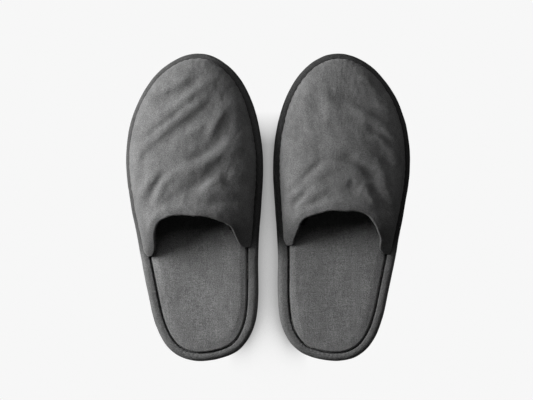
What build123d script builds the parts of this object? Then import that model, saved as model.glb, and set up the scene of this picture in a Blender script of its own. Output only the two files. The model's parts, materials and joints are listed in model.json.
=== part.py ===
from build123d import *
import os
import numpy as np

os.makedirs("parts", exist_ok=True)

# A pair of closed-toe, open-heel spa slippers in soft velour, standing side by side on their soles.
# Frame: +Y towards the toes, +X towards the wearer's right, +Z up. Origin on the floor, midway between the two slippers.
# The right slipper is modelled and the left one is its mirror image in the YZ plane. All sizes are in millimetres.
#
# Each slipper, from the floor up:
#   outsole          foam rubber sheet with wavy moulded grip grooves
#   insole_board     thin stiffener board glued on the outsole, inside the wrap's lower margin
#   midsole          foam tray with a raised edge, which gives the sole its height
#   sole_wrap        velour strip that wraps the midsole's edge: lower margin, side wall, top roll and a lip turned down into the seam
#   seam_thread      lock-stitch thread running round the seam at the bottom of the groove
#   footbed_sponge   soft sponge lying in the midsole's tray
#   footbed_cover    velour cover over the sponge, its edge turned down into the seam
#   upper_shell      outer velour of the vamp, seamed to the lining along the throat and turned
#   upper_padding    foam interlining of the vamp
#   throat_tape      woven stay tape inside the turned throat edge, between shell and lining
#   upper_lining     inner lining of the vamp
#   care_label       small woven label sewn inside the throat, at the big-toe side

# ---------------------------------------------------------------- driving dimensions
OUTSOLE_T = 3.0          # outsole sheet
OUTSOLE_INSET = 1.8      # outsole edge inside the wrapped side wall
GROOVE_D = 0.9           # grip groove depth
GROOVE_W = 1.6           # grip groove width
GROOVE_PITCH = 7.0       # grip groove spacing along the sole
GROOVE_WAVE = 2.6        # amplitude of the grooves' wave
GROOVE_WAVELENGTH = 22.0
WRAP_T = 1.0             # velour strip on the sole's edge
SOLE_TOP = 16.2          # height of the footbed and of the edge roll
TRAY_FLOOR = 11.5        # floor of the midsole's tray and of the seam groove
WRAP_R_TOP = 5.0         # outer rounding of the edge roll
WRAP_R_BOTTOM = 2.6
LIP_R = 1.4              # rounding of the roll where it turns into the seam
WRAP_MARGIN = 12.5       # width of the wrap's margin glued under the midsole
BOARD_T = 0.9
COVER_T = 0.9
SEAM_TOE_HEEL = 7.6      # seam line inside the outline at toe and heel
SEAM_MEDIAL = 9.8        # at the big-toe side
SEAM_LATERAL = 8.8       # at the little-toe side
UPPER_EDGE = 5.8         # widest line of the upper inside the outline
WING_MEDIAL_Y = -38.0    # where the vamp ends at the big-toe side
WING_LATERAL_Y = -45.0   # where the vamp ends at the little-toe side
WING_TIP_W = 6.5         # width of the vamp's tip
UPPER_BASE_Z = 12.4      # bottom of the vamp in the seam groove
UPPER_SIDE_Z = 22.0      # height of the vamp's widest line
SHELL_T = 0.90           # velour
PAD_FROM, PAD_TO = 1.12, 3.00      # foam interlining, measured from the outer face
LINING_FROM, LINING_TO = 3.25, 4.00
TAPE_W = 4.5             # stay tape width
TAPE_FROM, TAPE_TO = 1.50, 2.40
EDGE_SETBACK = 0.5       # tape inside the turned edge
THREAD_D = 0.65

# Plan outline of the right sole (x, y), from the toe down the little-toe side, round the heel and up the big-toe side.
OUTLINE = [
    (64.5, 143.0), (78.8, 140.4), (90.6, 134.7), (100.6, 127.0), (112.8, 112.2), (121.0, 97.5), (126.6, 82.6),
    (130.1, 67.7), (131.8, 52.8), (132.0, 37.9), (130.8, 23.1), (128.6, 8.2), (126.0, -6.7), (123.0, -21.6),
    (118.9, -43.9), (115.9, -58.8), (112.9, -73.7), (110.0, -88.5), (106.4, -103.4), (100.7, -118.3), (90.0, -133.2),
    (77.5, -140.6), (62.6, -143.0), (44.8, -140.6), (27.9, -133.2), (15.8, -118.3), (11.0, -103.4), (9.3, -88.5),
    (8.9, -73.7), (9.1, -51.3), (8.4, -29.0), (6.9, -6.7), (5.3, 15.6), (4.6, 37.9), (5.9, 60.3), (10.0, 82.6),
    (17.6, 104.9), (26.2, 119.8), (40.3, 134.2), (51.4, 140.4),
]
# Plan line of the throat edge between the two wing tips, big-toe side first.
THROAT = [
    (25.6, -33.5), (28.2, -28.0), (31.2, -21.5), (36.2, -14.8), (43.0, -10.8), (52.0, -8.3), (62.0, -6.8),
    (74.0, -6.7), (84.0, -7.7), (92.3, -11.0), (99.0, -17.0), (102.8, -25.0), (104.7, -33.0), (105.7, -40.0),
]
# Height of the vamp's ridge along the slipper (y, z).
RIDGE = [(-50, 19.5), (-41.5, 24.0), (-36, 32.0), (-30, 41.5), (-22, 52.5), (-14, 58.3), (-6, 60.0), (20, 57.5),
         (50, 52.8), (80, 46.6), (100, 43.0), (140, 41.0)]
RIDGE_ROUND_FROM = 95.0  # from here on the ridge rounds down to the toe
VAMP_N = 2.2             # fullness of the vamp's arch


# ---------------------------------------------------------------- curves in plan
def periodic_spline(points, n):
    """n points, evenly spaced along a closed cubic spline, and the unit tangents there."""
    p = np.array(points, float)
    m = len(p)
    h = np.linalg.norm(np.roll(p, -1, 0) - p, axis=1)
    a = np.zeros((m, m))
    r = np.zeros((m, 2))
    for i in range(m):
        hp, hn = h[i - 1], h[i]
        a[i, i - 1] = hp
        a[i, i] = 2 * (hp + hn)
        a[i, (i + 1) % m] = hn
        r[i] = 6 * ((p[(i + 1) % m] - p[i]) / hn - (p[i] - p[i - 1]) / hp)
    s2 = np.linalg.solve(a, r)
    fine = []
    for i in range(m):
        j = (i + 1) % m
        t = np.linspace(0, h[i], 60, endpoint=False)[:, None]
        c = (p[j] - p[i]) / h[i] - h[i] * (2 * s2[i] + s2[j]) / 6
        fine.append(p[i] + c * t + s2[i] * t**2 / 2 + (s2[j] - s2[i]) * t**3 / (6 * h[i]))
    f = np.vstack(fine)
    f = np.vstack([f, f[:1]])
    s = np.concatenate([[0], np.cumsum(np.linalg.norm(np.diff(f, axis=0), axis=1))])
    q = np.linspace(0, s[-1], n, endpoint=False)
    out = np.stack([np.interp(q, s, f[:, k]) for k in (0, 1)], 1)
    tan = np.roll(out, -1, 0) - np.roll(out, 1, 0)
    return out, tan / np.linalg.norm(tan, axis=1)[:, None]


def open_spline(points, n):
    """n points evenly spaced along a natural cubic spline."""
    p = np.array(points, float)
    m = len(p)
    h = np.linalg.norm(np.diff(p, axis=0), axis=1)
    a = np.eye(m)
    r = np.zeros((m, 2))
    for i in range(1, m - 1):
        a[i, i - 1], a[i, i], a[i, i + 1] = h[i - 1], 2 * (h[i - 1] + h[i]), h[i]
        r[i] = 6 * ((p[i + 1] - p[i]) / h[i] - (p[i] - p[i - 1]) / h[i - 1])
    s2 = np.linalg.solve(a, r)
    fine = []
    for i in range(m - 1):
        t = np.linspace(0, h[i], 60, endpoint=i == m - 2)[:, None]
        c = (p[i + 1] - p[i]) / h[i] - h[i] * (2 * s2[i] + s2[i + 1]) / 6
        fine.append(p[i] + c * t + s2[i] * t**2 / 2 + (s2[i + 1] - s2[i]) * t**3 / (6 * h[i]))
    f = np.vstack(fine)
    s = np.concatenate([[0], np.cumsum(np.linalg.norm(np.diff(f, axis=0), axis=1))])
    q = np.linspace(0, s[-1], n)
    return np.stack([np.interp(q, s, f[:, k]) for k in (0, 1)], 1)


def pchip(x, xs, ys):
    """Monotone cubic through a table."""
    xs, ys = np.array(xs, float), np.array(ys, float)
    h, d = np.diff(xs), np.diff(ys) / np.diff(xs)
    g = np.zeros(len(xs))
    for i in range(1, len(xs) - 1):
        if d[i - 1] * d[i] > 0:
            w1, w2 = 2 * h[i] + h[i - 1], h[i] + 2 * h[i - 1]
            g[i] = (w1 + w2) / (w1 / d[i - 1] + w2 / d[i])
    g[0], g[-1] = d[0], d[-1]
    x = np.clip(np.asarray(x, float), xs[0], xs[-1])
    i = np.clip(np.searchsorted(xs, x) - 1, 0, len(h) - 1)
    t = (x - xs[i]) / h[i]
    return (ys[i] * (2 * t**3 - 3 * t**2 + 1) + g[i] * h[i] * (t**3 - 2 * t**2 + t)
            + ys[i + 1] * (3 * t**2 - 2 * t**3) + g[i + 1] * h[i] * (t**3 - t**2))


def smooth(t):
    t = np.clip(t, 0, 1)
    return t * t * (3 - 2 * t)


NO = 1440
O_PTS, O_TAN = periodic_spline(OUTLINE, NO)      # runs clockwise seen from above
O_IN = np.stack([O_TAN[:, 1], -O_TAN[:, 0]], 1)  # inward normal
NX2, NY2 = O_IN[:, 0] ** 2, O_IN[:, 1] ** 2
MEDIAL = O_PTS[:, 0] < 64.0
SEAM = SEAM_TOE_HEEL * NY2 + np.where(O_IN[:, 0] > 0, SEAM_MEDIAL, SEAM_LATERAL) * NX2
TIP_Y = np.where(MEDIAL, WING_MEDIAL_Y, WING_LATERAL_Y)
WING = smooth((O_PTS[:, 1] - TIP_Y + 2.0) / 15.0)      # 0 at the wing tips, 1 well in front of them
EDGE = UPPER_EDGE * WING + (SEAM - 0.9) * (1 - WING)
COVER_EDGE = SEAM + 0.75 + 1.75 * smooth((O_PTS[:, 1] - TIP_Y + 12.0) / 30.0)


def offset(d):
    return O_PTS + O_IN * np.broadcast_to(d, (NO,))[:, None]


def slab(d, z0, z1, n=80):
    """A plate whose edge lies d inside the outline, from z0 to z1."""
    pts = offset(d)[:: NO // n]
    edge = Edge.make_spline([Vector(x, y, z0) for x, y in pts], periodic=True)
    return Solid.extrude(Face(Wire([edge])), Vector(0, 0, z1 - z0))


def rim(shape, z, d=None):
    """Edges of shape that lie wholly at height z, and d inside the outline if it is given."""
    found = []
    for e in shape.edges():
        b = e.bounding_box()
        if abs(b.min.Z - z) < 1e-3 and abs(b.max.Z - z) < 1e-3:
            found.append(e)
    if d is not None:
        want = offset(d)
        length = float(np.sum(np.linalg.norm(np.roll(want, -1, 0) - want, axis=1)))
        found = [min(found, key=lambda e: abs(e.length - length))]
    return found


# ---------------------------------------------------------------- the sole
def wave_groove(y0, x0, x1):
    """One wavy groove across the sole."""
    n = max(8, int((x1 - x0) / 3))
    xs = np.linspace(x0, x1, n)
    ys = y0 + GROOVE_WAVE * np.sin(2 * np.pi * (xs - 64.0) / GROOVE_WAVELENGTH)
    lo = Edge.make_spline([Vector(x, y - GROOVE_W / 2, -0.2) for x, y in zip(xs, ys)])
    hi = Edge.make_spline([Vector(x, y + GROOVE_W / 2, -0.2) for x, y in zip(xs, ys)])
    a = Edge.make_line(lo @ 1, hi @ 1)
    b = Edge.make_line(hi @ 0, lo @ 0)
    return Solid.extrude(Face(Wire([lo, a, hi, b])), Vector(0, 0, GROOVE_D + 0.2))


def chord(y, margin):
    """x of the outline's two sides at y, brought in by margin."""
    lat, med = O_PTS[~MEDIAL], O_PTS[MEDIAL]
    lat, med = lat[np.argsort(lat[:, 1])], med[np.argsort(med[:, 1])]
    return np.interp(y, med[:, 1], med[:, 0]) + margin, np.interp(y, lat[:, 1], lat[:, 0]) - margin


outsole = slab(OUTSOLE_INSET, 0, OUTSOLE_T)
outsole = outsole.fillet(0.7, rim(outsole, 0))
grooves = []
for first, last in ((6.0, 126.0), (-128.0, -58.0)):
    for y in np.arange(first, last + 0.1, GROOVE_PITCH):
        xa, xb = chord(y + np.sign(y) * 3.0, 9.0)
        if xb - xa > 24:
            grooves.append(wave_groove(y, xa, xb))
outsole = outsole.cut(*grooves)

midsole_block = slab(WRAP_T, OUTSOLE_T + 0.95, SOLE_TOP - WRAP_T)
midsole_block = midsole_block.fillet(WRAP_R_TOP - WRAP_T, rim(midsole_block, SOLE_TOP - WRAP_T))
midsole_block = midsole_block.fillet(WRAP_R_BOTTOM - WRAP_T, rim(midsole_block, OUTSOLE_T + 0.95))
midsole = midsole_block.cut(slab(SEAM - 0.6 - COVER_T, TRAY_FLOOR, SOLE_TOP + 1))
midsole = midsole.fillet(0.6, rim(midsole, SOLE_TOP - WRAP_T, SEAM - 0.6 - COVER_T))

wrap = slab(0, OUTSOLE_T, SOLE_TOP)
wrap = wrap.fillet(WRAP_R_TOP, rim(wrap, SOLE_TOP))
wrap = wrap.fillet(WRAP_R_BOTTOM, rim(wrap, OUTSOLE_T))
wrap = wrap.cut(midsole)
wrap = wrap.cut(slab(SEAM - 0.6, TRAY_FLOOR, SOLE_TOP + 1))
wrap = wrap.cut(slab(WRAP_MARGIN, OUTSOLE_T - 1, OUTSOLE_T + 0.95))
if isinstance(wrap, (list, ShapeList)):
    wrap = max(wrap, key=lambda s: s.volume)
wrap = max(wrap.solids(), key=lambda s: s.volume)
wrap = wrap.fillet(LIP_R, rim(wrap, SOLE_TOP, SEAM - 0.6))

board = slab(WRAP_MARGIN + 0.5, OUTSOLE_T, OUTSOLE_T + BOARD_T)

sponge = slab(COVER_EDGE + COVER_T, TRAY_FLOOR, SOLE_TOP - COVER_T)
sponge = sponge.fillet(1.2, rim(sponge, SOLE_TOP - COVER_T))
cover = slab(COVER_EDGE, TRAY_FLOOR + 0.05, SOLE_TOP)
cover = cover.fillet(2.0, rim(cover, SOLE_TOP))
cover = cover.cut(sponge)

thread = slab(SEAM - THREAD_D / 2, TRAY_FLOOR + 0.05, TRAY_FLOOR + 0.05 + THREAD_D)
thread = thread.cut(slab(SEAM + THREAD_D / 2, TRAY_FLOOR - 1, SOLE_TOP))

# ---------------------------------------------------------------- the vamp
M_ALL = offset(EDGE)
apex = int(np.argmax(M_ALL[:, 1]))
med_b, lat_b = M_ALL[M_ALL[:, 0] <= M_ALL[apex, 0]], M_ALL[M_ALL[:, 0] >= M_ALL[apex, 0]]
med_b, lat_b = med_b[np.argsort(med_b[:, 1])], lat_b[np.argsort(lat_b[:, 1])]
TOE_Y = float(M_ALL[apex, 1])


def vamp_z(x, y):
    """Height of the vamp's outer face over a plan point inside its widest line."""
    xl, xr = np.interp(y, med_b[:, 1], med_b[:, 0]), np.interp(y, lat_b[:, 1], lat_b[:, 0])
    c, w = (xl + xr) / 2, np.maximum((xr - xl) / 2, 1e-6)
    xi = np.clip((x - c) / w, -1, 1)
    ys = y + (WING_MEDIAL_Y - WING_LATERAL_Y) / 2 * xi
    zc = 17.2 + (UPPER_SIDE_Z - 17.2) * smooth((ys + 41.5) / 30.0)
    h = pchip(ys, *zip(*RIDGE)) - zc
    far = np.clip((y - RIDGE_ROUND_FROM) / (TOE_Y - RIDGE_ROUND_FROM), 0, 1)
    return zc + np.maximum(h, 0) * np.sqrt(1 - far**2) * (1 - np.abs(xi) ** VAMP_N) ** (1 / VAMP_N), zc


# Stations along the widest line, from the big-toe side's tip round the toe to the little-toe side's tip.
start = int(np.argmin(np.where(MEDIAL, np.abs(O_PTS[:, 1] - WING_MEDIAL_Y), 1e9)))
stop = int(np.argmin(np.where(~MEDIAL, np.abs(O_PTS[:, 1] - WING_LATERAL_Y), 1e9)))
run = np.arange(start, start + ((stop - start) % NO) + 1) % NO
NU = 37
w_lin = np.linspace(0, 1, NU)
u_frac = 0.45 * w_lin + 0.55 * (0.5 - 0.5 * np.cos(np.pi * w_lin))
at = u_frac * (len(run) - 1)


def pick(values):
    v = np.asarray(values)[run]
    if v.ndim == 1:
        return np.interp(at, np.arange(len(run)), v)
    return np.stack([np.interp(at, np.arange(len(run)), v[:, k]) for k in range(v.shape[1])], 1)


B_O, B_N, B_SEAM, B_EDGE, B_WING = pick(O_PTS), pick(O_IN), pick(SEAM), pick(EDGE), pick(WING)
B_N /= np.linalg.norm(B_N, axis=1)[:, None]
B_M = B_O + B_N * B_EDGE[:, None]

line = [tuple(B_M[0] + B_N[0] * WING_TIP_W), *THROAT, tuple(B_M[-1] + B_N[-1] * WING_TIP_W)]
t_fine = open_spline(line, 2001)
t_dir = np.gradient(t_fine, axis=0)
t_dir /= np.linalg.norm(t_dir, axis=1)[:, None]
g = pchip(u_frac, [0, 0.064, 0.292, 0.68, 0.909, 1.0], [0, 0.21, 0.345, 0.56, 0.70, 1.0])
B_T = np.stack([np.interp(g, np.linspace(0, 1, 2001), t_fine[:, k]) for k in (0, 1)], 1)
t_d = np.stack([np.interp(g, np.linspace(0, 1, 2001), t_dir[:, k]) for k in (0, 1)], 1)
T_N = np.stack([t_d[:, 1], -t_d[:, 0]], 1)
tip = np.minimum(u_frac, 1 - u_frac) * (len(run) / NO) * 780.0   # distance from the nearer tip, about
mix = smooth(tip / 22.0)[:, None]
T_N = T_N * mix + B_N * (1 - mix)
T_N /= np.linalg.norm(T_N, axis=1)[:, None]
SPAN = np.linalg.norm(B_T - B_M, axis=1)
THICK_U = 0.50 + 0.50 * smooth(tip / 30.0)


def plan(f):
    """Plan points at the fractions f (one per station) of the way from the widest line to the throat edge."""
    f = np.asarray(f, float)[:, None]
    k = (0.75 * SPAN)[:, None]
    return ((2 * f**3 - 3 * f**2 + 1) * B_M + (f**3 - 2 * f**2 + f) * k * B_N
            + (3 * f**2 - 2 * f**3) * B_T + (f**3 - f**2) * k * T_N)


def row_top(f):
    p = plan(f)
    z, _ = vamp_z(p[:, 0], p[:, 1])
    return np.column_stack([p, z])


def row_low(share):
    """Rows below the widest line: share 0 is the bottom of the seam groove, 1 the widest line."""
    _, zc = vamp_z(B_M[:, 0], B_M[:, 1])
    z = UPPER_BASE_Z + (zc - UPPER_BASE_Z) * share
    out = 0.3 + np.maximum(B_SEAM - B_EDGE - 0.3, 0) * smooth((z - 14.7) / np.maximum(zc - 14.7, 1e-6))
    p = B_O + B_N * (B_SEAM - out)[:, None]
    return np.column_stack([p, z])


LOW = [0.0, 0.2, 0.4, 0.6, 0.8]
STEPS = 12


def sheet(t0, t1, f0=None, f1=None, low=True):
    """A curved sheet of the vamp between depths t0 and t1 below the outer face, from fraction f0 to f1 (one per station)."""
    f0 = np.zeros(NU) if f0 is None else f0
    f1 = np.ones(NU) if f1 is None else f1
    rows, thick = [], []
    if low:
        for s in LOW:
            rows.append(row_low(s))
            thick.append(np.full(NU, 0.62 + 0.38 * float(smooth((s - 0.25) / 0.6))))
    for j in range(STEPS + 1):
        share = (1 - np.cos(np.pi / 2 * j / STEPS)) if low else j / STEPS
        rows.append(row_top(f0 + (f1 - f0) * share))
        thick.append(np.ones(NU))
    p = np.array(rows)
    du, dv = np.gradient(p, axis=1), np.gradient(p, axis=0)
    n = np.cross(dv, du)
    n /= np.linalg.norm(n, axis=2)[:, :, None]
    if low:
        n[:2, :, 2] = 0                              # the sewn-in edge stands upright in the groove
    for _ in range(3):                               # even out the directions, so that the layers stay apart
        n = np.concatenate([n[:, :1], (n[:, :-2] + 2 * n[:, 1:-1] + n[:, 2:]) / 4, n[:, -1:]], axis=1)
        n = np.concatenate([n[:1], (n[:-2] + 2 * n[1:-1] + n[2:]) / 4, n[-1:]], axis=0)
        n /= np.linalg.norm(n, axis=2)[:, :, None]
    depth = (np.array(thick) * THICK_U[None, :])[:, :, None]
    a, b = p - n * depth * t0, p - n * depth * t1
    fa = Face.make_surface_from_array_of_points([[tuple(q) for q in r] for r in a], tol=0.05, min_deg=3, max_deg=3)
    fb = Face.make_surface_from_array_of_points([[tuple(q) for q in r] for r in b], tol=0.05, min_deg=3, max_deg=3)

    def side(face, pts):
        middle = Vector(*pts[len(pts) // 2])
        return min(face.edges(), key=lambda e: (e.position_at(0.5) - middle).length)

    sides = []
    for pa, pb in ((a[0], b[0]), (a[-1], b[-1]), (a[:, 0], b[:, 0]), (a[:, -1], b[:, -1])):
        sides.append(Face.make_surface_from_curves(side(fa, pa), side(fb, pb)))
    solid = Solid(Shell([fa, fb, *sides]))
    if solid.volume < 0:
        solid = Solid(Shell([-f for f in (fa, fb, *sides)]))
    return solid


tape = np.minimum(TAPE_W, 0.30 * SPAN) / SPAN
gap = np.minimum(0.8, 0.06 * SPAN) / SPAN
setback = np.minimum(EDGE_SETBACK, 0.05 * SPAN) / SPAN
shell = sheet(0, SHELL_T)
padding = sheet(PAD_FROM, PAD_TO, f1=1 - setback - tape - gap)
stay = sheet(TAPE_FROM, TAPE_TO, 1 - setback - tape, 1 - setback, low=False)
lining = sheet(LINING_FROM, LINING_TO)

# ---------------------------------------------------------------- the label
LABEL_W, LABEL_L, LABEL_T = 9.0, 13.0, 0.7
k = int(np.argmin(np.abs(g - 0.255)))
near = row_top(1 - tape)[k]
edge_pt = row_top(np.ones(NU))[k]
back = row_top(1 - 2.5 * tape)[k]
along = row_top(np.ones(NU))[k + 1] - row_top(np.ones(NU))[k - 1]
out_dir = Vector(*(edge_pt - back)).normalized()
side_dir = Vector(*along).normalized()
normal = side_dir.cross(out_dir).normalized()
if normal.Z > 0:
    normal = -normal
centre = Vector(*near) + normal * (LINING_TO + 0.9 + LABEL_T / 2) + out_dir * 2.0
label = Solid.make_box(LABEL_W, LABEL_L, LABEL_T, Plane(origin=centre, x_dir=out_dir.cross(normal), z_dir=normal).offset(-LABEL_T / 2))
label = label.moved(Location(-(label.center() - centre)))
label = label.fillet(0.25, label.edges())

# ---------------------------------------------------------------- write the parts
right = {
    "outsole": outsole, "insole_board": board, "midsole": midsole, "sole_wrap": wrap, "seam_thread": thread,
    "footbed_sponge": sponge, "footbed_cover": cover, "upper_shell": shell, "upper_padding": padding,
    "throat_tape": stay, "upper_lining": lining, "care_label": label,
}


def only_solid(shape):
    if isinstance(shape, (list, ShapeList)):
        shape = max((s for x in shape for s in x.solids()), key=lambda s: s.volume)
    return max(shape.solids(), key=lambda s: s.volume)


for name, shape in right.items():
    solid = only_solid(shape)
    export_step(solid, f"parts/right_{name}.step")
    export_step(solid.mirror(Plane.YZ), f"parts/left_{name}.step")
    box = solid.bounding_box()
    print(name, "valid", solid.is_valid, "volume", round(solid.volume), "z", round(box.min.Z, 2), round(box.max.Z, 2))
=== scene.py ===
import bpy, math, json
import numpy as np
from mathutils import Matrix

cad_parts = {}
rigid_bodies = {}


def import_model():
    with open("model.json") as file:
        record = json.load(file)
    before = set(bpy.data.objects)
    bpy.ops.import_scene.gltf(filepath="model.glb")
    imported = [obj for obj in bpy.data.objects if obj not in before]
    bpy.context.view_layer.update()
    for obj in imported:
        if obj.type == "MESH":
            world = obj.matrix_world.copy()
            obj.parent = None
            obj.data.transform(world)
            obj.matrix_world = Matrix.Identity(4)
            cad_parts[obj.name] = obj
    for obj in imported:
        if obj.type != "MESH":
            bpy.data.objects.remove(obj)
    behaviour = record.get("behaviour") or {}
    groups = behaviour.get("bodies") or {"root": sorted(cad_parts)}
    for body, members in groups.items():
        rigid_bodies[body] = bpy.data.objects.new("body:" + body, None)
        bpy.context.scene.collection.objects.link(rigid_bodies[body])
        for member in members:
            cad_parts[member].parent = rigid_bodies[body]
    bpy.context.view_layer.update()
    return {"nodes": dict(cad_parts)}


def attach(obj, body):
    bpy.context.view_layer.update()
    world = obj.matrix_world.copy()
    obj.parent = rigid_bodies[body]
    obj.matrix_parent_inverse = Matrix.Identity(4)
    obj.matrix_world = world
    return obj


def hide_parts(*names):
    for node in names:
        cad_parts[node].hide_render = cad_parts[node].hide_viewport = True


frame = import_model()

NODES = frame["nodes"]

# ------------------------------------------------------------------ shared plan curves, in mm, right slipper
SOLE_TOP, TRAY = 16.2, 11.5
SEAM_TOE_HEEL, SEAM_MEDIAL, SEAM_LATERAL = 7.6, 9.8, 8.8
TIP_MEDIAL, TIP_LATERAL = -37.0, -44.0
BASE_Z, SIDE_Z = 12.4, 22.0
OUTLINE = [
    (64.5, 143.0), (78.8, 140.4), (90.6, 134.7), (100.6, 127.0), (112.8, 112.2), (121.0, 97.5), (126.6, 82.6),
    (130.1, 67.7), (131.8, 52.8), (132.0, 37.9), (130.8, 23.1), (128.6, 8.2), (126.0, -6.7), (123.0, -21.6),
    (118.9, -43.9), (115.9, -58.8), (112.9, -73.7), (110.0, -88.5), (106.4, -103.4), (100.7, -118.3), (90.0, -133.2),
    (77.5, -140.6), (62.6, -143.0), (44.8, -140.6), (27.9, -133.2), (15.8, -118.3), (11.0, -103.4), (9.3, -88.5),
    (8.9, -73.7), (9.1, -51.3), (8.4, -29.0), (6.9, -6.7), (5.3, 15.6), (4.6, 37.9), (5.9, 60.3), (10.0, 82.6),
    (17.6, 104.9), (26.2, 119.8), (40.3, 134.2), (51.4, 140.4),
]
THROATS = {
    1: [(24.2, -29.5), (25.9, -25.0), (28.2, -18.4), (31.4, -11.9), (35.0, -9.2), (40.9, -7.0), (48.7, -4.6), (56.1, -2.8),
        (63.0, -2.9), (70.3, -3.3), (78.1, -3.4), (85.9, -5.2), (92.4, -10.0), (96.8, -16.4), (100.2, -23.5),
        (102.4, -29.0), (102.6, -34.0), (103.0, -39.0)],
    -1: [(27.3, -32.6), (29.2, -28.4), (31.2, -23.8), (33.5, -18.6), (37.8, -15.2), (42.6, -13.0), (48.2, -10.9),
         (54.0, -8.8), (59.9, -7.7), (65.8, -7.6), (72.6, -7.1), (79.5, -6.9), (86.4, -7.5), (93.0, -9.8), (98.7, -13.6),
         (101.8, -19.0), (103.2, -27.0), (103.4, -34.0), (104.3, -40.0)],
}
TIPS = {1: (-34.0, -43.6, 7.4, 7.6), -1: (-36.2, -45.4, 9.2, 6.4)}    # big-toe side y, little-toe side y, and the two tips' widths
RIDGE = [(-50, 19.5), (-41.5, 24.0), (-36, 32.0), (-30, 41.5), (-22, 52.5), (-14, 58.3), (-6, 60.0), (20, 57.5),
         (50, 52.8), (80, 46.6), (100, 43.0), (140, 41.0)]
RIDGE_ROUND = 95.0
VAMP_N = 2.2


def smooth(t):
    t = np.clip(t, 0, 1)
    return t * t * (3 - 2 * t)


def pchip(x, xs, ys):
    xs, ys = np.array(xs, float), np.array(ys, float)
    h, d = np.diff(xs), np.diff(ys) / np.diff(xs)
    g = np.zeros(len(xs))
    for i in range(1, len(xs) - 1):
        if d[i - 1] * d[i] > 0:
            w1, w2 = 2 * h[i] + h[i - 1], h[i] + 2 * h[i - 1]
            g[i] = (w1 + w2) / (w1 / d[i - 1] + w2 / d[i])
    g[0], g[-1] = d[0], d[-1]
    x = np.clip(np.asarray(x, float), xs[0], xs[-1])
    i = np.clip(np.searchsorted(xs, x) - 1, 0, len(h) - 1)
    t = (x - xs[i]) / h[i]
    return (ys[i] * (2 * t**3 - 3 * t**2 + 1) + g[i] * h[i] * (t**3 - 2 * t**2 + t)
            + ys[i + 1] * (3 * t**2 - 2 * t**3) + g[i + 1] * h[i] * (t**3 - t**2))


def spline(points, n, closed):
    p = np.array(points, float)
    m = len(p)
    q = np.roll(p, -1, 0) if closed else p
    h = np.linalg.norm((q - p) if closed else np.diff(p, axis=0), axis=1)
    a, r = np.eye(m), np.zeros((m, 2))
    for i in range(m):
        if not closed and i in (0, m - 1):
            continue
        a[i, i - 1], a[i, i], a[i, (i + 1) % m] = h[i - 1], 2 * (h[i - 1] + h[i]), h[i]
        r[i] = 6 * ((p[(i + 1) % m] - p[i]) / h[i] - (p[i] - p[i - 1]) / h[i - 1])
    s2 = np.linalg.solve(a, r)
    fine = []
    for i in range(m if closed else m - 1):
        j = (i + 1) % m
        t = np.linspace(0, h[i], 60, endpoint=(not closed and i == m - 2))[:, None]
        c = (p[j] - p[i]) / h[i] - h[i] * (2 * s2[i] + s2[j]) / 6
        fine.append(p[i] + c * t + s2[i] * t**2 / 2 + (s2[j] - s2[i]) * t**3 / (6 * h[i]))
    f = np.vstack(fine + ([fine[0][:1]] if closed else []))
    s = np.concatenate([[0], np.cumsum(np.linalg.norm(np.diff(f, axis=0), axis=1))])
    w = np.linspace(0, s[-1], n, endpoint=not closed)
    return np.stack([np.interp(w, s, f[:, k]) for k in (0, 1)], 1), s[-1]


def lattice(x, y, seed):
    """Smooth value noise, -1 to 1, with a cell of 1."""
    tab = np.random.RandomState(seed).uniform(-1, 1, (64, 64))
    xi, yi = np.floor(x).astype(int), np.floor(y).astype(int)
    fx, fy = smooth(x - xi), smooth(y - yi)
    g = lambda i, j: tab[i % 64, j % 64]
    return ((g(xi, yi) * (1 - fx) + g(xi + 1, yi) * fx) * (1 - fy)
            + (g(xi, yi + 1) * (1 - fx) + g(xi + 1, yi + 1) * fx) * fy)


def fbm(x, y, cell, seed, octaves=3):
    out, amp = 0, 1.0
    for k in range(octaves):
        c, s = math.cos(0.6 + k), math.sin(0.6 + k)
        out = out + amp * lattice((c * x - s * y) / cell * 2**k + 7.3 * k, (s * x + c * y) / cell * 2**k, seed + k)
        amp *= 0.5
    return out


NO = 1440
O_PTS, O_LEN = spline(OUTLINE, NO, True)
O_TAN = np.roll(O_PTS, -1, 0) - np.roll(O_PTS, 1, 0)
O_TAN /= np.linalg.norm(O_TAN, axis=1)[:, None]
O_IN = np.stack([O_TAN[:, 1], -O_TAN[:, 0]], 1)
MEDIAL = O_PTS[:, 0] < 64.0
SEAM = SEAM_TOE_HEEL * O_IN[:, 1] ** 2 + np.where(O_IN[:, 0] > 0, SEAM_MEDIAL, SEAM_LATERAL) * O_IN[:, 0] ** 2
TIP_Y = np.where(MEDIAL, TIP_MEDIAL, TIP_LATERAL)
WING = smooth((O_PTS[:, 1] - TIP_Y + 4.0) / 13.0)
FRONT = smooth((O_PTS[:, 1] - TIP_Y + 12.0) / 30.0)
COVER_EDGE = SEAM + 0.75 + 1.75 * FRONT


def offset(d):
    return O_PTS + O_IN * np.broadcast_to(d, (NO,))[:, None]


# ------------------------------------------------------------------ mesh helpers
def piece(name, verts, faces, side, mats, smooth_faces=True, mat_index=None):
    v = np.array(verts, float) * 0.001
    if side < 0:
        v[:, 0] *= -1
        faces = [tuple(reversed(f)) for f in faces]
    me = bpy.data.meshes.new(name)
    me.from_pydata(v.tolist(), [], [tuple(map(int, f)) for f in faces])
    me.validate()
    for m in mats:
        me.materials.append(m)
    me.polygons.foreach_set("use_smooth", [smooth_faces] * len(me.polygons))
    if mat_index is not None:
        me.polygons.foreach_set("material_index", list(mat_index))
    me.update()
    o = bpy.data.objects.new(name, me)
    bpy.context.scene.collection.objects.link(o)
    return o


def ring_faces(rows, cols, close_rows, close_cols):
    out = []
    for r in range(rows if close_rows else rows - 1):
        r2 = (r + 1) % rows
        for c in range(cols if close_cols else cols - 1):
            c2 = (c + 1) % cols
            out.append((r * cols + c, r * cols + c2, r2 * cols + c2, r2 * cols + c))
    return out


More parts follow.
